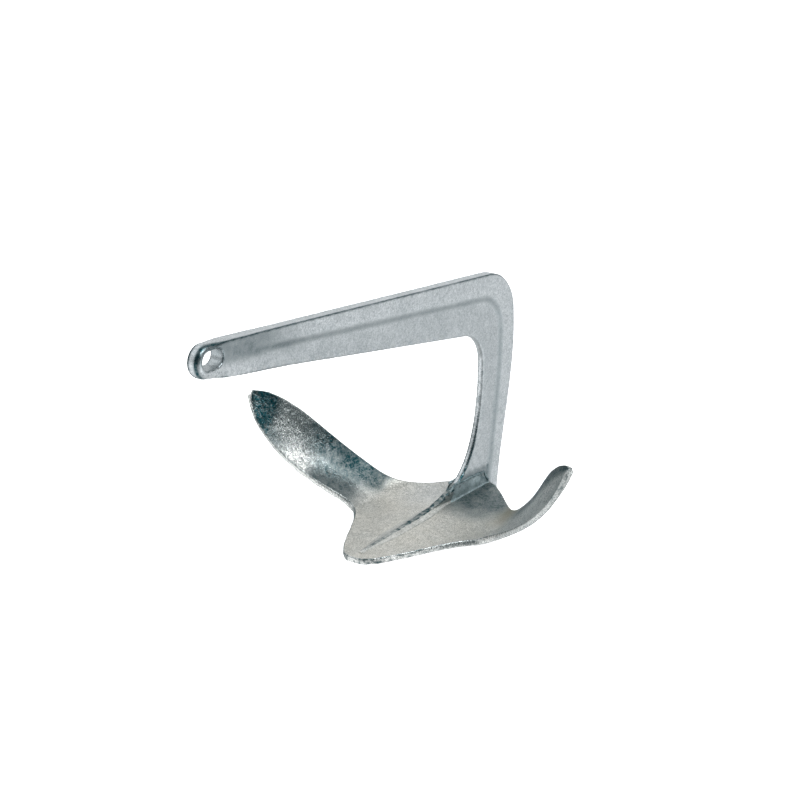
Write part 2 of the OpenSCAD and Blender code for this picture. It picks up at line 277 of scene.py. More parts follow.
def zinc(name, bright, dull, *, spangle, rough, bump, grain):
    """Hot-dip zinc: fine frosted mottling, faint crystal patches, and dark oxidised zinc mixed with
    painted shade and painted reflection.

    Point attributes: dark adds a dark teal for oxidised zinc and for painted shade and painted
    reflection, warm a tan tint, gloss polish and knob a coarse relief.
    """
    mat = bpy.data.materials.new(name)
    sh = Shader(mat)
    coord = sh.node("TexCoord").outputs["Object"]
    dark, warm, gloss, knob = (
        sh.node("Attribute", attribute_name=key).outputs["Fac"]
        for key in ("dark", "warm", "gloss", "knob")
    )

    def noise(scale, detail, roughness, distortion=0.0):
        inputs = {"Scale": scale, "Detail": detail, "Roughness": roughness}
        inputs.update({"Distortion": distortion, "Vector": coord})
        return sh.node("TexNoise", inputs).outputs["Fac"]

    fine = noise(scale=620, detail=3, roughness=0.65)
    mid = noise(scale=210, detail=4, roughness=0.6, distortion=0.3)
    wide = noise(scale=38, detail=3, roughness=0.5)
    speck = noise(scale=1500, detail=2, roughness=0.6)
    pitted = noise(scale=330, detail=5, roughness=0.7, distortion=1.2)
    cells = {"Scale": 300, "Randomness": 1.0, "Vector": coord}
    cell_color = sh.node("TexVoronoi", cells, feature="F1").outputs["Color"]
    crystal = sh.node("SeparateColor", {"Color": cell_color}).outputs[0]

    # how bright each spot is: fine frosting over slow clouds
    fine_part = sh.times(sh.spread(fine, 0.32, 0.68), 0.55)
    mid_part = sh.times(sh.spread(mid, 0.3, 0.7), 0.28)
    wide_part = sh.times(sh.spread(wide, 0.3, 0.7), 0.17)
    tone = sh.add(sh.add(fine_part, mid_part), wide_part)
    for value, strength in ((sh.spread(speck, 0.34, 0.66), grain), (crystal, spangle)):
        tone = sh.add(tone, sh.times(sh.math("SUBTRACT", value, 0.5), strength))
    base = sh.mix(sh.add(tone, 0.0, clamp=True), (*dull, 1), (*bright, 1))
    warmth = sh.times(warm, sh.spread(wide, 0.25, 0.7, to_low=0.65), clamp=True)
    base = sh.mix(warmth, base, WARM_TINT)
    # the dark attribute mixes in the teal: real zinc spots, and painted shade and painted reflection
    # laid on by place
    oxide_and_shade = sh.times(dark, sh.spread(mid, 0.28, 0.72, to_low=0.80, to_high=1.10))
    broken = sh.spread(fine, 0.32, 0.68, to_low=0.84, to_high=1.14)
    base = sh.mix(sh.times(oxide_and_shade, broken, clamp=True), base, OXIDE_AND_SHADE)

    frosted = sh.spread(fine, 0.25, 0.75, to_low=rough - 0.05, to_high=rough + 0.08)
    roughness = sh.add(frosted, sh.times(gloss, -0.24))
    cloudy = sh.times(sh.spread(mid, 0.3, 0.7), 0.05)
    roughness = sh.add(roughness, cloudy, clamp=True)

    height = sh.add(sh.times(fine, 0.55), sh.times(mid, 0.9))
    height = sh.add(height, sh.times(speck, 0.18 * grain))
    height = sh.add(height, sh.times(sh.times(pitted, knob), 1.6))
    relief = sh.node("Bump", {"Strength": bump, "Distance": 0.0009, "Height": height})

    metal = {"Metallic": 0.82, "Base Color": base, "Roughness": roughness}
    metal["Normal"] = relief.outputs["Normal"]
    surface = sh.node("BsdfPrincipled", metal).outputs["BSDF"]
    sh.node("OutputMaterial", {"Surface": surface})
    return mat


SHANK_MAT = zinc("zinc_shank", bright=(0.745, 0.765, 0.78), dull=(0.37, 0.405, 0.42),
                 spangle=0.18, rough=0.46, bump=0.30, grain=0.45)
CLAW_MAT = zinc("zinc_claw", bright=(0.90, 0.895, 0.87), dull=(0.36, 0.375, 0.365),
                spangle=0.22, rough=0.44, bump=0.50, grain=1.05)
RUN_MAT = zinc("zinc_run", bright=(0.90, 0.895, 0.87), dull=(0.36, 0.375, 0.365),
               spangle=0.1, rough=0.45, bump=0.4, grain=0.4)
WELD_MAT = zinc("zinc_weld", bright=(0.72, 0.82, 0.85), dull=(0.28, 0.35, 0.36),
                spangle=0.1, rough=0.5, bump=0.6, grain=0.6)


# ------------------------------------------------------------------ claw surface
# The upper face runs from a leading edge (+X) to a trailing edge (-X), the same on both sides.
HALF_W, TOE_X, PALM_Z, NOTCH_X = 150.0, -164.5, -207.5, -247.5
TOE_Y, WING_Y, JOIN_Y = 3.5, 64.5, 73.5
CROWN_X, CROWN_Z = -353.0, -207.0
TIP_LEN, TIP_R = 10.0, 5.5


def tip_cap(y):
    """How far each edge draws in to round the fluke's tip."""
    t = np.clip((y - HALF_W + TIP_LEN) / TIP_LEN, 0, 1)
    return TIP_R * (1 - np.sqrt(np.clip(1 - t * t, 0, 1)))


# Bezier control points of the edges: (y, x) or (y, z)
LEAD_X_OUTER = [[WING_Y, NOTCH_X], [77.5, NOTCH_X], [108.5, -226], [HALF_W, -222.5]]
LEAD_Z_OUTER = [[60, PALM_Z], [84.5, -194], [141.5, -165.5], [HALF_W, -121.5]]
TRAIL_X_INNER = [[0, CROWN_X], [22, CROWN_X + 0.5], [47.5, -306], [JOIN_Y, -292.5]]
TRAIL_X_OUTER = [[JOIN_Y, -292.5], [102, -275], [120, -250], [HALF_W, -234]]
TRAIL_Z_INNER = [[0, CROWN_Z], [31, CROWN_Z - 0.3], [48.4, -215], [JOIN_Y, -192]]
TRAIL_Z_OUTER = [[JOIN_Y, -192], [108.5, -161.5], [119, -128], [HALF_W, -120.5]]


def lead_x(y):
    inner = TOE_X + (NOTCH_X - TOE_X) * rise(y, TOE_Y, WING_Y - TOE_Y)
    return np.where(y < WING_Y, inner, curve_at(LEAD_X_OUTER, y)) - tip_cap(y)


def lead_z(y):
    return np.where(y < LEAD_Z_OUTER[0][0], PALM_Z, curve_at(LEAD_Z_OUTER, y))


def trail(y, inner, outer):
    return np.where(y < JOIN_Y, curve_at(inner, y), curve_at(outer, y))


def camber(y):
    return lerp(1.0, -4.6, ease(y / 70)) * (1 - ease((y - 120) / (HALF_W - 120)) * 0.8)


STATION_Y = np.linspace(0, HALF_W, 1201)
STATION_LEAD_X = lead_x(STATION_Y)
STATION_TRAIL_X = trail(STATION_Y, TRAIL_X_INNER, TRAIL_X_OUTER) + tip_cap(STATION_Y)
STATION_LEAD_Z = lead_z(STATION_Y)
STATION_TRAIL_Z = trail(STATION_Y, TRAIL_Z_INNER, TRAIL_Z_OUTER)
STATION_CAMBER = camber(STATION_Y)
STATIONS = (STATION_LEAD_X, STATION_TRAIL_X, STATION_LEAD_Z, STATION_TRAIL_Z, STATION_CAMBER)


def palm_face(y, chord):
    """Points of the upper face; chord is 0 on the leading edge and 1 on the trailing edge."""
    x0, x1, z0, z1, bulge = (np.interp(np.abs(y), STATION_Y, table) for table in STATIONS)
    dx, dz = x1 - x0, z1 - z0
    length = np.hypot(dx, dz) + 1e-9
    normal_x, normal_z = dz / length * np.where(dx < 0, 1, -1), np.abs(dx) / length
    bulge = bulge * 4 * chord * (1 - chord)
    x = x0 + dx * chord + normal_x * bulge * 0.4
    return np.stack([x, y + 0 * chord, z0 + dz * chord + normal_z * bulge], -1)


def palm_top(x, y=0.0):
    """Height of the upper face."""
    x0, x1 = (np.interp(np.abs(y), STATION_Y, table) for table in STATIONS[:2])
    return palm_face(y, np.clip((x - x0) / (x1 - x0), 0, 1))[..., 2]


# ------------------------------------------------------------------ claw casting
FLAT_Y = 96  # stations are even up to here and crowd towards the tip beyond
TOP_COUNT, LOW_COUNT, RIM_COUNT = 84, 44, 8
TOP, BACK_RIM, UNDERSIDE, FRONT_RIM = range(4)


def plate_thickness(y, chord):
    mid = ease(np.minimum(chord, 1 - chord) * 4)
    outer = ease(y / 55)
    return 4.6 + (7 * (1 - outer) + 1.4 * outer) * mid - 0.8 * rise(y, 120, 34)


def soft_square(angle):
    """Cosine and sine of a squarish circle with softly rounded corners."""
    cosine = np.cos(angle)
    return np.sign(cosine) * np.abs(cosine) ** 0.62, np.sin(angle) ** 0.62


def tip_ring(ring, shrink, push):
    """A smaller copy of an end ring, pushed out along Y."""
    mid = ring.mean(0)
    return (mid + (ring - mid) * shrink + np.array([0, push, 0]))[None]


def claw_rings():
    flat = np.linspace(0, FLAT_Y, 65)[:-1]
    wing = FLAT_Y + (HALF_W - 0.35 - FLAT_Y) * np.sin(np.linspace(0, math.pi / 2, 52))
    half = np.concatenate([flat, wing])
    stations = np.concatenate([-half[:0:-1], half])
    chord = np.linspace(0, 1, TOP_COUNT)
    y, c = np.meshgrid(stations, chord, indexing="ij")
    top = palm_face(y, c)
    # normals from small steps along and across the face
    y1, y0 = (np.clip(y + step, -HALF_W + 0.1, HALF_W - 0.1) for step in (0.25, -0.25))
    c1, c0 = (np.clip(c + step, 0, 1) for step in (0.01, -0.01))
    normal = np.cross(palm_face(y1, c) - palm_face(y0, c), palm_face(y, c1) - palm_face(y, c0))
    normal /= np.linalg.norm(normal, axis=-1, keepdims=True) + 1e-12
    normal *= np.where(normal[..., 2:] < 0, -1, 1)
    thick = plate_thickness(np.abs(y), c)[..., None]
    low = top - normal * thick
    picked = np.round(np.linspace(0, TOP_COUNT - 1, LOW_COUNT)).astype(int)[::-1]
    cosine, sine = soft_square(np.linspace(0, math.pi, RIM_COUNT + 2)[1:-1])

    def rim(column, out):
        edge, up, t = top[:, column], normal[:, column], thick[:, column]
        height = (up * t / 2)[:, None, :] * cosine[None, :, None]
        bulge = np.array([out, 0, 0]) * (t * 0.36)[:, None, :] * sine[None, :, None]
        return (edge - up * t / 2)[:, None, :] + height + bulge

    rings = np.concatenate([top, rim(-1, -1.0), low[:, picked], rim(0, 1.0)[:, ::-1]], 1)
    # two shrinking rings close each tip
    first, last = rings[0], rings[-1]
    starboard = [tip_ring(first, 0.25, -0.5), tip_ring(first, 0.72, -0.35)]
    port = [tip_ring(last, 0.72, 0.35), tip_ring(last, 0.25, 0.5)]
    ring_part = np.repeat(
        [TOP, BACK_RIM, UNDERSIDE, FRONT_RIM], [TOP_COUNT, RIM_COUNT, LOW_COUNT, RIM_COUNT]
    )
    ring_chord = np.concatenate([chord, np.ones(RIM_COUNT), chord[picked], np.zeros(RIM_COUNT)])
    return np.concatenate([*starboard, rings, *port], 0), ring_part, ring_chord


def fluke_pool(off_y):
    """Where the zinc pooled on the flukes."""
    return rise(off_y, 96, 12) * (1 - rise(off_y, 140, 10))


def claw_relief(points, normals, part, chord):
    """Zinc skin: slow swell, finer lumps, thick runs on the rims, wrinkles on the flukes."""
    x, off_y = points[:, 0], np.abs(points[:, 1])
    is_rim = (part == BACK_RIM) | (part == FRONT_RIM)
    skin = 0.10 * fbm(points, size=26, seed=3) + 0.045 * fbm(points, size=6.5, seed=5, octaves=2)
    stretched = points * np.array([1.0, 0.75, 0.75])
    wrinkle = fbm(stretched, size=5.2, seed=11, octaves=2, gain=0.45)
    skin += (part == TOP) * fluke_pool(off_y) * 0.13 * wrinkle
    lumps = 0.22 * fbm(points, size=7.5, seed=21, octaves=2)
    skin += is_rim * (lumps + 0.10 * np.abs(vnoise(points, size=3.2, seed=33)))
    toe = rise(x, -262, 30) * (off_y < 70)
    skin += is_rim * toe * 0.30 * np.maximum(0, vnoise(points, size=5.5, seed=41))
    # drips hang below the leading rim
    drip = np.maximum(0, vnoise(points * np.array([1, 1, 0.35]), size=6.0, seed=51) - 0.25)
    below = (part == FRONT_RIM) | ((part == UNDERSIDE) & (chord < 0.04))
    below = below * fall(normals[:, 2], 0.1, 0.6)
    points = points + normals * skin[:, None]
    points[:, 2] -= below * drip * 1.3
    return points


def claw_tone(smooth, points, normals, part, chord):
    """Shader attributes by place: smooth are the points before the relief was added."""
    x, y, _ = smooth.T
    off_y = np.abs(y)
    is_top, is_rim = part == TOP, (part == BACK_RIM) | (part == FRONT_RIM)
    wobble = 3.0 * vnoise(points, size=17, seed=55) + 1.5 * vnoise(points, size=7, seed=57)
    wavy_y = off_y + wobble

    # painted reflection of the dark post: a dark patch on the palm round the root of the shank,
    # strong to port and faint to starboard
    root_distance = np.hypot((x + 322 + 0.25 * off_y) / 1.30, (off_y - 20) / 0.92) + wobble
    near_root = 1 - rise(root_distance, 16, 36)
    near_root = np.clip(near_root * (1 + 0.35 * fbm(points, size=9, seed=63)), 0, 1)
    dark = near_root * np.where(y > 0, 0.80, 0.12)

    # starboard fluke: painted reflection, slate grey where it would mirror the dim room and darkest
    # at the tip, with a painted highlight patch kept bright where the soft box is mirrored
    slate = rise(wavy_y + 10 * (0.5 - chord), 60, 17)
    highlight_patch = 1.15 * hill(wavy_y, 113, 10) * hill(chord, 0.08, 0.25)
    highlight_patch = np.clip(highlight_patch + 0.8 * hill(wavy_y, 105, 6) * hill(chord, 0, 0.13), 0, 1)
    middle = 0.80 * (1 - 0.40 * rise(wavy_y, 104, 14) * rise(chord, 0.15, 0.3))
    middle = middle * (1 - 0.25 * hill(wavy_y, 106, 8) * fall(chord, 0.6, 0.2))
    starboard = np.maximum(middle * slate, rise(wavy_y, 124, 13))
    starboard = np.clip(starboard - 0.95 * highlight_patch, 0, 1)
    # painted shade over the inner half, holding back the soft box's reflection there
    inner_half = rise(wavy_y, 56, 12) * fall(wavy_y, 104, 14) * rise(chord, 0.40, 0.3)
    starboard = np.maximum(starboard, 0.84 * inner_half)

    # port fluke: mostly bright, streaked along its trailing edge
    port = 0.08 * slate + 0.16 * hill(chord, 0.2, 0.25) * rise(off_y, 90, 20)
    port = np.clip(port + 0.20 * rise(off_y, 132, 12), 0, 1)
    streaks = 0.5 + 0.5 * fbm(points * np.array([0.6, 0.6, 1.0]), size=7, seed=59)
    trailing = np.where(y > 0, 0.95 * (0.35 + streaks), 0.10)
    trailing = rise(chord, 0.62, 0.3) * rise(off_y, 58, 24) * trailing
    dark = np.clip(dark + np.where(y < 0, starboard, port) + trailing, 0, 1)

    # rims: a painted reflection, a dark line along the upper corner where it would mirror a dim part
    # of the room; spots at the toe and the tips
    busy = np.clip(rise(x, -300, 60) * (off_y < 72) + rise(off_y, 132, 8), 0, 1)
    spots = busy * rise(vnoise(points, size=1.9, seed=61), 0.12, 0.3)
    spots = spots * (0.25 + 0.55 * rise(x, -222, 30) + 0.4 * (off_y > 120))
    rim_dark = np.clip(0.02 + 0.60 * hill(normals[:, 2], 0.70, 0.20) + spots, 0, 0.9)
    port_rim = 0.22 + 0.25 * (0.5 + 0.5 * fbm(points, size=5, seed=65, octaves=2))
    rim_dark = np.where(y > 80, np.maximum(rim_dark, port_rim), rim_dark)
    dark = np.where(is_rim, rim_dark, np.where(is_top, dark, 0.22))

    # warm palm with one olive patch to port
    olive = is_top * hill(x, -306, 20) * hill(y, 57, 12)
    warm = is_top * (1 - rise(off_y, 50, 26)) * 0.30 * (1 - 0.9 * near_root)
    gloss = 0.40 + slate * np.where(y < 0, 0.60, 0.25)
    gloss = np.clip(gloss + (0.35 * highlight_patch - 1.15 * inner_half) * (y < 0), -0.7, 1)
    return dict(
        dark=np.clip(dark + 0.16 * olive, 0, 1),
        warm=np.clip(warm + 0.62 * olive, 0, 1),
        gloss=np.where(is_top, gloss, np.where(is_rim, 0.85, 0.2)),
        knob=is_top * fluke_pool(off_y) * 0.7,
    )


def build_claw():
    rings, ring_part, ring_chord = claw_rings()
    smooth, quads, tris, normals = loft(rings, "claw")
    part = on_rings(ring_part, smooth, UNDERSIDE)
    chord = on_rings(ring_chord, smooth, 0.5)
    points = claw_relief(smooth, normals, part, chord)
    tone = claw_tone(smooth, points, normals, part, chord)
    piece("claw_casting", points, quads, tris, CLAW_MAT, "claw_zinc", "claw", **tone)


# ------------------------------------------------------------------ shank side view, in (x, z)
EYE_X, EYE_Z, EYE_R, EYE_T, BAND_T, WEB_T = 3.6, -1.0, 12.5, 12.0, 10.0, 6.0
SLOT_HALF, SLOT_R = 4.0, 6.75
TOP_SLOPE, LOW_SLOPE = 0.098, 0.172  # upper and lower edges of the arm
BACK_X, CORNER_R, THROAT_X, THROAT_R = -386.5, 42.0, -341.5, 30.0
FOOT_FRONT, FOOT_BACK = (-297.0, -197.0), (CROWN_X - 11, -221.0)
# The thin web starts inside a border along the arm's top and down the post's back.
WEB_Z, WEB_SLOPE, WEB_BACK_X, WEB_R = -0.7, 0.1226, -367.0, 32.0


def arm_edge_z(x, slope, side):
    """Edge of the arm, tangent to the eye; side is 1 for the upper edge, -1 for the lower."""
    return EYE_Z + side * EYE_R / math.cos(math.atan(slope)) + slope * (x - EYE_X)


def arc(centre, radius, start, end, count):
    angle = np.radians(np.linspace(start, end, count + 1))
    x, z = centre[0] + radius * np.cos(angle), centre[1] + radius * np.sin(angle)
    return np.stack([x, z], -1)


def rounded_centre(x, radius, slope, side):
    """Centre of the bend that joins the arm's edge to the post."""
    return x, arm_edge_z(x, slope, side) - side * radius / math.cos(math.atan(slope))


def shank_outline():
    top_angle, low_angle = (math.degrees(math.atan(s)) for s in (TOP_SLOPE, LOW_SLOPE))
    corner = rounded_centre(BACK_X + CORNER_R, CORNER_R, TOP_SLOPE, 1)
    # the lower bend curves the other way, below the arm
    throat_x = THROAT_X + THROAT_R
    throat_z = arm_edge_z(throat_x, LOW_SLOPE, -1) - THROAT_R / math.cos(math.atan(LOW_SLOPE))
    t = np.linspace(0, 1, 25)
    back = bezier([[BACK_X, corner[1]], [-391, -118], [-368, -168], FOOT_BACK], t)
    front = bezier([[THROAT_X, throat_z], [-342, -140], [-333, -185], FOOT_FRONT], t)
    foot_x = np.linspace(CROWN_X + 0.5, FOOT_FRONT[0], 12)
    return np.concatenate([
        arc((EYE_X, EYE_Z), EYE_R, -90 + low_angle, 90 + top_angle, 40),
        arc(corner, CORNER_R, 90 + top_angle, 180, 24),
        back[1:],
        [[CROWN_X - 0.5, FOOT_BACK[1]]],
        np.stack([foot_x, palm_top(foot_x) - 1.2], -1),
        front[::-1],
        arc((throat_x, throat_z), THROAT_R, 180, 90 + low_angle, 18)[1:],
    ])


def web_border():
    angle = math.atan(WEB_SLOPE)
    bend_x = WEB_BACK_X + WEB_R
    bend_z = WEB_Z + WEB_SLOPE * bend_x - WEB_R / math.cos(angle)
    x = np.linspace(40, bend_x, 30)
    post = [[WEB_BACK_X, bend_z], [WEB_BACK_X, -130], [-355, -165], [-349, -226]]
    return np.concatenate([
        [[40, -90]],
        np.stack([x, WEB_Z + WEB_SLOPE * x], -1),
        arc((bend_x, bend_z), WEB_R, 90 + math.degrees(angle), 180, 20)[1:],
        bezier(post, np.linspace(0, 1, 25))[1:],
        [[-349, -300], [40, -300]],
    ])


def polygon_distance(polygon, x, z):
    """Signed distance to a closed polygon, negative inside."""
    nearest = np.full(x.shape, 1e18)
    inside = np.zeros(x.shape, bool)
    for (ax, az), (bx, bz) in zip(polygon, np.roll(polygon, -1, axis=0)):
        ex, ez = bx - ax, bz - az
        length2 = ex * ex + ez * ez
        if length2 < 1e-12:
            continue
        px, pz = x - ax, z - az
        t = np.clip((px * ex + pz * ez) / length2, 0, 1)
        nearest = np.minimum(nearest, (px - t * ex) ** 2 + (pz - t * ez) ** 2)
        if az != bz:
            inside ^= ((az > z) != (bz > z)) & (x < ex * (z - az) / ez + ax)
    distance = np.sqrt(nearest)
    return np.where(inside, -distance, distance)


OUTLINE, BORDER = shank_outline(), web_border()


# ------------------------------------------------------------------ shank, from a distance field
def shank_plan(x, z):
    """What the side view says at each point.

    Distance outside the outline, half thickness, rim radius, distance outside the slot,
    a mask of the step down to the web, and distance inside the web's border.
    """
    outside = polygon_distance(OUTLINE, x, z)
    inset = -polygon_distance(BORDER, x, z)
    band = lerp(BAND_T / 2, EYE_T / 2, rise(x, -75, 55))
    recess = fall(x, -30, 62)
    step = rise(inset, -4.6, 9.2)
    half = lerp(band, WEB_T / 2, step * recess)
    radius = lerp(lerp(1.35, 2.5, step * recess), 4.8, rise(x, -16, 18))
    slot = np.hypot(x - np.clip(x, -SLOT_HALF, SLOT_HALF), z) - SLOT_R
    return outside, half, radius, slot, 4 * step * (1 - step) * recess, inset


def shank_field(plan, y):
    outside, half, radius, slot = plan[:4]
    wx, wy = outside + radius, np.abs(y) - half + radius
    bar = np.minimum(np.maximum(wx, wy), 0)
    bar = bar + np.hypot(np.maximum(wx, 0), np.maximum(wy, 0)) - radius
    blend = 0.9  # softens the edge of the slot
    overlap = np.maximum(blend - np.abs(bar + slot), 0) / blend
    return np.maximum(bar, -slot) + overlap * overlap * blend / 4


def field_at(points):
    return shank_field(shank_plan(points[:, 0], points[:, 2]), points[:, 1])


def field_gradient(points, step):
    moves = np.eye(3) * step
    slopes = [field_at(points + move) - field_at(points - move) for move in moves]
    return np.stack(slopes, -1) / (2 * step)


def surface_nets(field, origin, pitch):
    """One smooth quad mesh round the zero level of a sampled field."""
    nx, ny, nz = field.shape
    solid = field < 0
    corners = [(i, j, k) for i in (0, 1) for j in (0, 1) for k in (0, 1)]
    filled = sum(
        solid[i : nx - 1 + i, j : ny - 1 + j, k : nz - 1 + k].astype(np.int8)
        for i, j, k in corners
    )
    crossed = (filled > 0) & (filled < 8)
    cells = np.argwhere(crossed)
    index = np.full(crossed.shape, -1, np.int64)
    index[crossed] = np.arange(len(cells))
    # each crossed cell gets the mean of the crossings on its edges
    total, hits = np.zeros((len(cells), 3)), np.zeros(len(cells))
    for a in corners:
        for b in corners:
            if sum(b) - sum(a) == 1 and all(q >= p for p, q in zip(a, b)):
                value_a, value_b = (field[tuple((cells + corner).T)] for corner in (a, b))
                hit = (value_a < 0) != (value_b < 0)
                t = np.where(hit, value_a / np.where(hit, value_a - value_b, 1), 0)
                crossing = np.array(a) + t[:, None] * (np.array(b) - np.array(a))
                total += np.where(hit[:, None], crossing, 0)
                hits += hit
    points = origin + pitch * (cells + total / hits[:, None])
    # each crossed grid edge gets a quad through the four cells round it
    groups = []
    for axis in range(3):
        u, v = (axis + 1) % 3, (axis + 2) % 3
        along = np.moveaxis(solid, axis, 0)
        change = np.moveaxis(along[:-1] != along[1:], 0, axis)
        edges = np.argwhere(change)
        inside = (edges[:, u] > 0) & (edges[:, v] > 0)
        inside &= (edges[:, u] < field.shape[u] - 1) & (edges[:, v] < field.shape[v] - 1)
        edges = edges[inside]
        quads = []
        for du, dv in ((1, 1), (0, 1), (0, 0), (1, 0)):
            cell = edges.copy()
            cell[:, u] -= du
            cell[:, v] -= dv
            quads.append(index[tuple(cell.T)])
        quads = np.stack(quads, -1)
        backward = ~solid[tuple(edges.T)]
        quads[backward] = quads[backward][:, ::-1]
        groups.append(quads)
    quads = np.concatenate(groups)
    return points, quads[(quads >= 0).all(1)]


def shank_mesh():
    pitch = 0.95
    half_y = EYE_T / 2 + 2.03
    lo = np.array([BACK_X - 4, -half_y, FOOT_BACK[1] - 4])
    hi = np.array([EYE_X + EYE_R + 4, half_y, arm_edge_z(0, TOP_SLOPE, 1) + 5])
    counts = np.ceil((hi - lo) / pitch).astype(int) + 1
    grid_x, grid_y, grid_z = (lo[i] + pitch * np.arange(counts[i]) for i in range(3))
    plan = shank_plan(*np.meshgrid(grid_x, grid_z, indexing="ij"))
    field = np.stack([shank_field(plan, y) for y in grid_y], 1)
    points, quads = surface_nets(field, lo, pitch)
    # pull the points onto the true surface
    for _ in range(2):
        slope = field_gradient(points, 0.06)
        off = np.clip(field_at(points), -pitch / 2, pitch / 2)[:, None]
        points = points - off * slope / ((slope * slope).sum(1, keepdims=True) + 1e-6)
    slope = field_gradient(points, 0.12)
    return points, quads, slope / (np.linalg.norm(slope, axis=1, keepdims=True) + 1e-9)


def build_shank():
    raw, quads, normals = shank_mesh()
    outside, _, _, slot, cove, inset = shank_plan(raw[:, 0], raw[:, 2])
    x, _, z = raw.T
    normal_x, normal_y, normal_z = normals.T
    sideways = np.abs(normal_y)
    eye = rise(x, -30, 26)
    edge = rise(outside, -1.7, 1.5)
    bore = 1 - rise(slot, 0.2, 1.4)
    # front edge of the post, where zinc ran down
    runs = rise(outside, -3, 2.5) * (x < -300) * rise(x, -352, 14) * fall(z, -84, 20)

    lump = 0.085 * fbm(raw, size=24, seed=71) + 0.035 * fbm(raw, size=6, seed=73, octaves=2)
    lump += 0.10 * edge * fbm(raw, size=8, seed=75, octaves=2)
    lump += eye * 0.06 * fbm(raw, size=5, seed=77, octaves=2)
    drawn = raw * np.array([1, 1, 0.5])
    lump += runs * 0.28 * np.maximum(0, vnoise(drawn, size=6, seed=79))
    points = fit(raw, "shank") + normals * lump[:, None]

    # painted reflection: dark lines along the upper edges and a dark band round the end of the eye,
    # where the rounded zinc would mirror a dim part of the room
    corner = np.clip(4 * (sideways * np.hypot(normal_x, normal_z)) ** 2, 0, 1)
    corner = corner * rise(outside, -2.2, 1.2) * np.where(normal_z > 0.2, 1.15, 0.08)
    dark = corner * (0.8 + 0.3 * vnoise(raw, size=14, seed=81))
    dark += rise(x, 3, 7) * rise(outside, -4.5, 2) * hill(sideways, 0.42, 0.27)
    # painted shade in the step down to the web, and a little over the recessed web
    web = rise(inset, -3, 8) * fall(x, -30, 62)
    dark += (cove * 0.42 + web * 0.10) * (sideways > 0.7)
    # side faces of the arm and round the slot, and painted shade inside the slot
    arm = rise(x, -118, 80)
    arm = arm * rise(z - 0.135 * x + 3 * vnoise(raw, size=22, seed=82), -9, 9)
    around = eye * rise(slot, -0.5, 2) * (0.55 + 0.45 * vnoise(raw, size=9, seed=84))
    faces = np.maximum(arm, 0.45 * around) * (0.95 + 0.22 * fbm(raw, size=8, seed=86))
    dark += 0.58 * faces * (sideways > 0.6) + bore * 0.35
    dark += runs * 0.32 * rise(vnoise(raw, size=2.4, seed=83), 0.15, 0.3)
    # lower edge of the arm
    low_edge = rise(outside, -2.4, 2) * (normal_z < -0.1) * rise(x, -120, 60)
    low_edge = low_edge * rise(sideways, 0.25, 0.3)
    dark += low_edge * 0.6 * rise(vnoise(raw, size=3.2, seed=87), -0.15, 0.5)
    # foot of the web
    foot = 1 - rise(z + 1.5 * vnoise(raw, size=4, seed=85), -192, 5)
    foot = foot * (sideways > 0.4) * rise(inset, 0, 3)
    piece(
        "shank_bar", points, quads, (), SHANK_MAT, "shank_zinc", "shank",
        dark=np.clip(dark + foot * 0.48, 0, 0.95),
        warm=0.0,
        gloss=np.clip(eye * 0.8 + bore * 0.4 + edge * 0.45 + runs * 0.5, 0, 1),
        knob=np.clip(foot * 0.8 + eye * 0.15, 0, 1),
    )


# ------------------------------------------------------------------ spine rib and its side runs
RIB_X0, RIB_X1 = FOOT_FRONT[0] - 6, TOE_X - 8
RUN_X0, RUN_X1 = RIB_X0 + 8, RIB_X1 - 1


def rib_along(x):
    return np.clip((x - RIB_X0) / (RIB_X1 - RIB_X0), 0, 1)


def rib_height(x):
    return 0.9 + 9.9 * np.exp((FOOT_FRONT[0] - x) / 22)


def rib_half(x):
    return 3.0 * lerp(1, 0.4, rib_along(x))


def skirted(x, y, z, under_z):
    """Rings of an upper skin closed by two points below its last and first ones."""
    x = np.broadcast_to(x, y.shape)
    under = np.stack([x[:, [-1, 0]], y[:, [-1, 0]], under_z], -1)
    return np.concatenate([np.stack([x, y, z], -1), under], 1)


def build_rib():
    x = lerp(RIB_X0, RIB_X1, np.linspace(0, 1, 240) ** 1.15)[:, None]
    # section of a soft bar: straight sides, rounded shoulders, a slightly domed top
    cosine, sine = soft_square(np.linspace(0, math.pi, 33))
    base = palm_top(x)
    z = base + rib_height(x) * (0.35 + 0.65 * sine)
    rings = skirted(x, rib_half(x) * -cosine, z, np.hstack([base, base]) - 0.9)
    points, quads, tris, normals = loft(rings, "spine_rib")
    along = rib_along(points[:, 0])
    is_top = on_rings(np.r_[np.ones(len(sine)), 0, 0], points, 0)
    lumps = fbm(points, size=2.9, seed=91, octaves=2)
    crest = is_top * (normals[:, 2] > 0.1)
    swell = 0.05 * fbm(points, size=6, seed=93)
    points = points + normals * (swell + crest * (1 - 0.8 * along) * (0.70 * lumps))[:, None]
    # painted shade on the side away from the light: the crest's starboard slope and the rib's
    # starboard face are darker
    starboard = is_top * fall(normals[:, 1], -0.1, 0.3)
    crest_dark = (1.05 - 0.55 * along) * (0.84 + 0.70 * lumps) + 0.3 * starboard
    side_dark = np.where(normals[:, 1] < 0, 0.6, 0.20 + 0.6 * (1 - along) ** 4)
    dark = crest * np.clip(crest_dark, 0.2, 0.95) + (1 - crest) * side_dark
    piece(
        "spine_rib_crest", points, quads, tris, CLAW_MAT, "claw_zinc", "spine_rib",
        dark=np.clip(dark * np.clip((1 - along) * 9, 0, 1), 0, 0.95),
        warm=0.1, gloss=0.35, knob=crest * (1 - along),
    )


def run_leg(x):
    """How far a side run spreads out from the rib."""
    return lerp(1.0, 5.0, rise(x, -290, 34)) * (1 - 0.78 * rise(x, -215, 40))


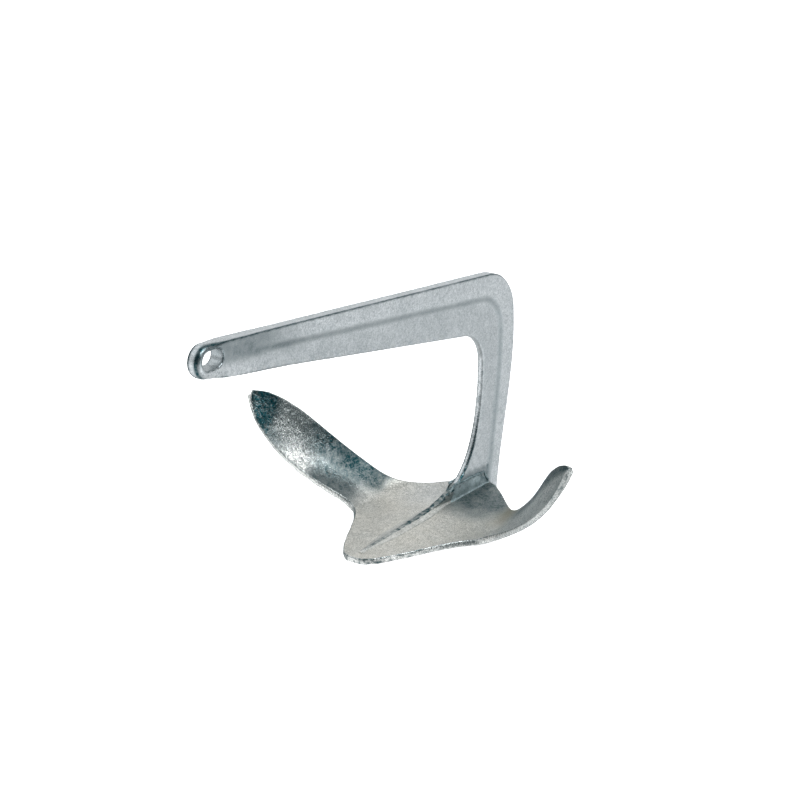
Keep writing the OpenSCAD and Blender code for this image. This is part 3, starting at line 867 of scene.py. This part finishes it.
def build_spine_run(sign, node, tone):
    x = np.linspace(RUN_X0, RUN_X1, 230)[:, None]
    t = np.linspace(0, 1, 20)
    inner, outer = rib_half(x) - 0.5, rib_half(x) + run_leg(x)
    low_z, top_z = palm_top(x, outer), palm_top(x) + np.minimum(0.72 * rib_height(x), 2.6)
    z = lerp(top_z, low_z + 0.15, 0.55 * t + 0.45 * ease(t))
    under_z = np.hstack([low_z, palm_top(x, inner)]) - 0.8
    rings = skirted(x, lerp(inner, outer, t), z, under_z)
    points, quads, tris, normals = loft(rings, node, sign)
    down = on_rings(np.r_[t, 1, 0], points, 0.5)
    is_top = on_rings(np.r_[np.ones(len(t)), 0, 0], points, 0)
    along = rib_along(points[:, 0])
    lump = 0.16 * fbm(points, size=5, seed=301, octaves=2)
    lump += 0.10 * fbm(points, size=2.4, seed=303, octaves=2)
    points = points + normals * (is_top * np.sin(np.pi * down) * lump)[:, None]
    foot_line = hill(down, 0.97, 0.07) * (0.35 + 0.25 * vnoise(points, size=7, seed=305))
    dark = is_top * np.clip(tone * (1 - down) + foot_line * (1 - 0.5 * along), 0, 0.9)
    piece(node + "_run", points, quads, tris, RUN_MAT, "weld_zinc", node,
          dark=dark, warm=0.16, gloss=0.35, knob=0.15)


# ------------------------------------------------------------------ root fillets and weld beads
ROOT_X0, ROOT_X1, ROOT_BEND_X = CROWN_X + 1.5, FOOT_FRONT[0] + 9, -346.0
ROOT_BEND_Z, ROOT_FRONT_Z = -195.0, -192.5
# Fillet section: part of the way down the skin, then shares of its spread in Y and drop in Z.
SKIN_DOWN = [0, 0.10, 0.55, 0.85, 1.0]
SKIN_SPREAD = [0, 0.40, 0.50, 0.68, 1.0]
SKIN_DROP = [0, 0.06, 0.60, 0.90, 1.0]


def root_front(x):
    return rise(x, FOOT_FRONT[0] - 6, 14)


def root_back(x):
    return rise(x, ROOT_X0, 9)


def root_top(x):
    level = lerp(ROOT_BEND_Z, ROOT_FRONT_Z, np.clip((x - ROOT_BEND_X) / 42, 0, 1))
    level = lerp(level, palm_top(x) + rib_height(x) * 0.5, root_front(x))
    back = np.clip((x - CROWN_X) / (ROOT_BEND_X - CROWN_X), 0, 1)
    back_z = lerp(-208.0, ROOT_BEND_Z, back)
    floor_z = palm_top(x, 6) + lerp(0.3, 1.2, root_back(x))
    return np.maximum(floor_z, np.where(x > ROOT_BEND_X, level, back_z))


def root_side(x):
    return lerp(BAND_T / 2, WEB_T / 2, rise(x, -355, 9))


def build_fillet(sign, node):
    """A thin skin that hangs almost straight down the web and turns out onto the palm."""
    x = np.linspace(ROOT_X0, ROOT_X1, 130)[:, None]
    t = np.linspace(0, 1, 34)
    inner = lerp(root_side(x) - 0.8, rib_half(x) - 1.6, root_front(x))
    outer = root_side(x) + lerp(0.4, 1.2, root_back(x))
    outer = lerp(outer, rib_half(x) - 0.2, root_front(x))
    low_z = palm_top(x, outer)
    y = lerp(inner, outer, np.interp(t, SKIN_DOWN, SKIN_SPREAD))
    z = lerp(root_top(x), low_z + 0.2, np.interp(t, SKIN_DOWN, SKIN_DROP))
    rings = skirted(x, y, z, np.hstack([low_z, palm_top(x, inner)]) - 0.8)
    points, quads, tris, normals = loft(rings, node, sign)
    down = on_rings(np.r_[t, 1, 0], points, 0.5)
    is_top = on_rings(np.r_[np.ones(len(t)), 0, 0], points, 0)
    lump = 0.30 * fbm(points, size=6, seed=101) + 0.26 * fbm(points, size=2.6, seed=103, octaves=2)
    points = points + normals * (is_top * (1 - 0.8 * down) * lump)[:, None]
    dark = 0.34 + 0.10 * (1 - down) + 0.55 * fbm(points, size=6, seed=105)
    dark = np.clip(dark - 0.70 * hill(down, 0.95, 0.06), 0, 0.92)
    piece(node + "_metal", points, quads, tris, WELD_MAT, "weld_zinc", node,
          dark=dark, warm=0.0, gloss=0.3, knob=0.9 * (1 - down))


def tube(path, radii, node, sides=16):
    """Swept tube with rounded ends along a path."""
    ahead = np.gradient(path, axis=0)
    ahead /= np.linalg.norm(ahead, axis=1, keepdims=True)
    across = np.cross(ahead, [0, 0, 1.0])
    across /= np.linalg.norm(across, axis=1, keepdims=True)
    up = np.cross(across, ahead)
    angle = np.radians(np.arange(sides) * 360 / sides)[None, :, None]
    circle = np.cos(angle) * across[:, None, :] + np.sin(angle) * up[:, None, :]
    rings = path[:, None, :] + radii[:, None, None] * circle
    tips = [path[0] - ahead[0] * radii[0] * 0.4, path[-1] + ahead[-1] * radii[-1] * 0.4]
    return loft(rings, node, ends=np.array(tips))


def build_bead(path, node, *, radius, pitch, seed, dark, jitter, lumps):
    """A weld bead with one scallop per pitch."""
    lengths = np.r_[0, np.cumsum(np.linalg.norm(np.diff(path, axis=0), axis=1))]
    s = np.linspace(0, lengths[-1], int(lengths[-1] / 0.55))
    path = np.stack([np.interp(s, lengths, path[:, k]) for k in range(3)], -1)
    line = np.stack([s, 0 * s, 0 * s], -1)
    sway, heave = vnoise(line, size=4.1, seed=seed), vnoise(line, size=3.3, seed=seed + 1)
    path = path + jitter * np.stack([0 * s, sway, heave], -1)
    phase = (s / pitch + 0.12 * vnoise(line, size=6, seed=seed + 2)) % 1.0
    scallop = 0.80 + 0.28 * np.sqrt(np.clip(1 - (2 * phase - 1) ** 2, 0, 1))
    scallop = scallop + 0.10 * vnoise(line, size=5, seed=seed + 3)
    taper = np.sqrt(np.clip(np.minimum(s, s[-1] - s) / (radius * 1.2) + 0.06, 0, 1))
    points, quads, tris, normals = tube(path, radius * scallop * taper, node)
    lump = lumps * fbm(points, size=2.6, seed=seed + 5, octaves=2)
    points = points + normals * lump[:, None]
    dark = np.clip(dark + 0.35 * fbm(points, size=3.0, seed=seed + 7, octaves=2), 0, 0.95)
    piece(node + "_run", points, quads, tris, WELD_MAT, "weld_zinc", node,
          dark=dark, warm=0.0, gloss=0.35, knob=0.6)


def root_path(sign):
    x = np.linspace(ROOT_X0, FOOT_FRONT[0] - 4, 60)
    return np.stack([x, sign * (root_side(x) + 0.1), root_top(x) - 0.3], -1)


def heel_path():
    y = np.linspace(-13, 13, 40)
    x = np.interp(np.abs(y), STATION_Y, STATION_TRAIL_X)
    return np.stack([x - 1, y, palm_top(x, y) - 3], -1)


build_claw()
build_shank()
build_rib()
build_fillet(1, "root_fillet_port")
build_fillet(-1, "root_fillet_starboard")
ROOT_BEAD = dict(radius=1.21, pitch=3.2, jitter=0.45, lumps=0.35)
build_bead(root_path(1), "weld_root_port", seed=201, dark=0.70, **ROOT_BEAD)
build_bead(root_path(-1), "weld_root_starboard", seed=211, dark=0.62, **ROOT_BEAD)
# the starboard run's higher tone is painted shade on the side away from the light
build_spine_run(1, "weld_spine_port", tone=0.06)
build_spine_run(-1, "weld_spine_starboard", tone=0.35)
build_bead(heel_path(), "weld_heel", radius=2.2, pitch=4.2, seed=241, dark=0.45, jitter=0.3,
           lumps=0.25)

# ------------------------------------------------------------------ stage, light and camera
FLOOR_Z, FLOOR_HALF = CAD_LO.z - 0.0006, 6.0


def floor_material():
    mat = bpy.data.materials.new("floor_white")
    sh = Shader(mat)
    matt = sh.node("BsdfDiffuse", {"Color": (0.9, 0.9, 0.9, 1)}).outputs[0]
    glow = sh.node("Emission", {"Color": (1, 1, 1, 1), "Strength": 0.86}).outputs[0]
    white = sh.node("AddShader", {0: matt, 1: glow}).outputs[0]
    # clear from below, so that the underside of the object can be seen through it
    below = sh.node("NewGeometry").outputs["Backfacing"]
    clear = sh.node("BsdfTransparent").outputs[0]
    both = sh.node("MixShader", {"Fac": below, 1: white, 2: clear}).outputs[0]
    sh.node("OutputMaterial", {"Surface": both})
    return mat


def build_floor():
    mesh = bpy.data.meshes.new("floor")
    corners = [(-1, -1), (1, -1), (1, 1), (-1, 1)]
    corners = [(x * FLOOR_HALF, y * FLOOR_HALF, FLOOR_Z) for x, y in corners]
    mesh.from_pydata(corners, [], [(0, 1, 2, 3)])
    mesh.materials.append(floor_material())
    floor = bpy.data.objects.new("floor", mesh)
    bpy.context.scene.collection.objects.link(floor)
    for ray in ("diffuse", "glossy", "transmission", "shadow"):
        setattr(floor, "visible_" + ray, False)


ROOM_LIGHT = 0.09
# direction, inner and outer angle in degrees, radiance
WORLD_LIGHT = [
    ((0, 0, -1), 76, 94, 0.78),  # all of the table below
    ((-0.80, -0.45, 0.25), 36, 62, 0.73),
    ((0.15, -0.35, 0.93), 12, 46, 1.0),
    ((-0.08, 0.67, 0.74), 7, 16, 14.0),  # small soft box, high to port
    ((-0.42, 0.46, 0.79), 5, 17, 2.0),
    ((-0.25, 0.90, -0.35), 8, 24, 1.3),
    ((0.62, -0.12, -0.77), 28, 52, 0.60),
    ((0.70, -0.60, 0.32), 26, 46, 0.74),
]
# direction, inner and outer angle in degrees, share of the light kept
WORLD_DARK = [
    ((0.76, 0.54, -0.36), 10, 30, 0.72),
    ((-0.50, -0.80, -0.33), 12, 34, 0.12),
]


def studio_world():
    """White to the camera; to the metal, a dim room with soft patches of light and shade."""
    world = bpy.data.worlds.new("studio")
    bpy.context.scene.world = world
    sh = Shader(world)
    view = sh.node("TexCoord").outputs["Generated"]

    def lobe(direction, inner, outer):
        inputs = {0: view, 1: Vector(direction).normalized()}
        dot = sh.node("VectorMath", inputs, operation="DOT_PRODUCT").outputs["Value"]
        low, high = (math.cos(math.radians(angle)) for angle in (outer, inner))
        return sh.spread(dot, low, high)

    total = ROOM_LIGHT
    for *patch, radiance in WORLD_LIGHT:
        total = sh.add(sh.times(lobe(*patch), radiance), total)
    for *patch, keep in WORLD_DARK:
        total = sh.times(total, sh.add(sh.times(lobe(*patch), keep - 1), 1))
    total = sh.math("MAXIMUM", total, 0.0)
    # the dim parts of the room are teal, the lit parts nearly white
    lit = sh.math("MINIMUM", sh.times(total, 1.9), 1.0)
    tint = sh.mix(lit, (0.52, 0.90, 1.0, 1), (0.965, 0.988, 1.0, 1))
    room = sh.node("Background", {"Color": tint, "Strength": total}).outputs[0]
    white = sh.node("Background", {"Color": (1, 1, 1, 1), "Strength": 1.0}).outputs[0]
    seen = sh.node("LightPath").outputs["Is Camera Ray"]
    both = sh.node("MixShader", {"Fac": seen, 1: room, 2: white}).outputs[0]
    sh.node("OutputWorld", {"Surface": both})


AZIMUTH, ELEVATION, DISTANCE = math.radians(35.0), math.radians(19.883), 1.5


def build_camera():
    data = bpy.data.cameras.new("camera")
    cam = bpy.data.objects.new("camera", data)
    bpy.context.scene.collection.objects.link(cam)
    data.sensor_width = 36
    data.lens = 86.6
    data.clip_start, data.clip_end = 0.05, 50
    level = math.cos(ELEVATION)
    away = (math.cos(AZIMUTH) * level, math.sin(AZIMUTH) * level, math.sin(ELEVATION))
    away = Vector(away)
    # the view is centred a little behind and above the middle of the box
    size = CAD_HI - CAD_LO
    target = (CAD_LO + CAD_HI) / 2 + Vector((-0.1021 * size.x, 0, 0.0337 * size.z))
    cam.location = target + away * DISTANCE
    cam.rotation_euler = (-away).to_track_quat("-Z", "Y").to_euler()
    bpy.context.scene.camera = cam


build_floor()
studio_world()
build_camera()

view_settings = bpy.context.scene.view_settings
view_settings.view_transform = "Standard"
view_settings.look = "None"
view_settings.exposure = 0
view_settings.gamma = 1
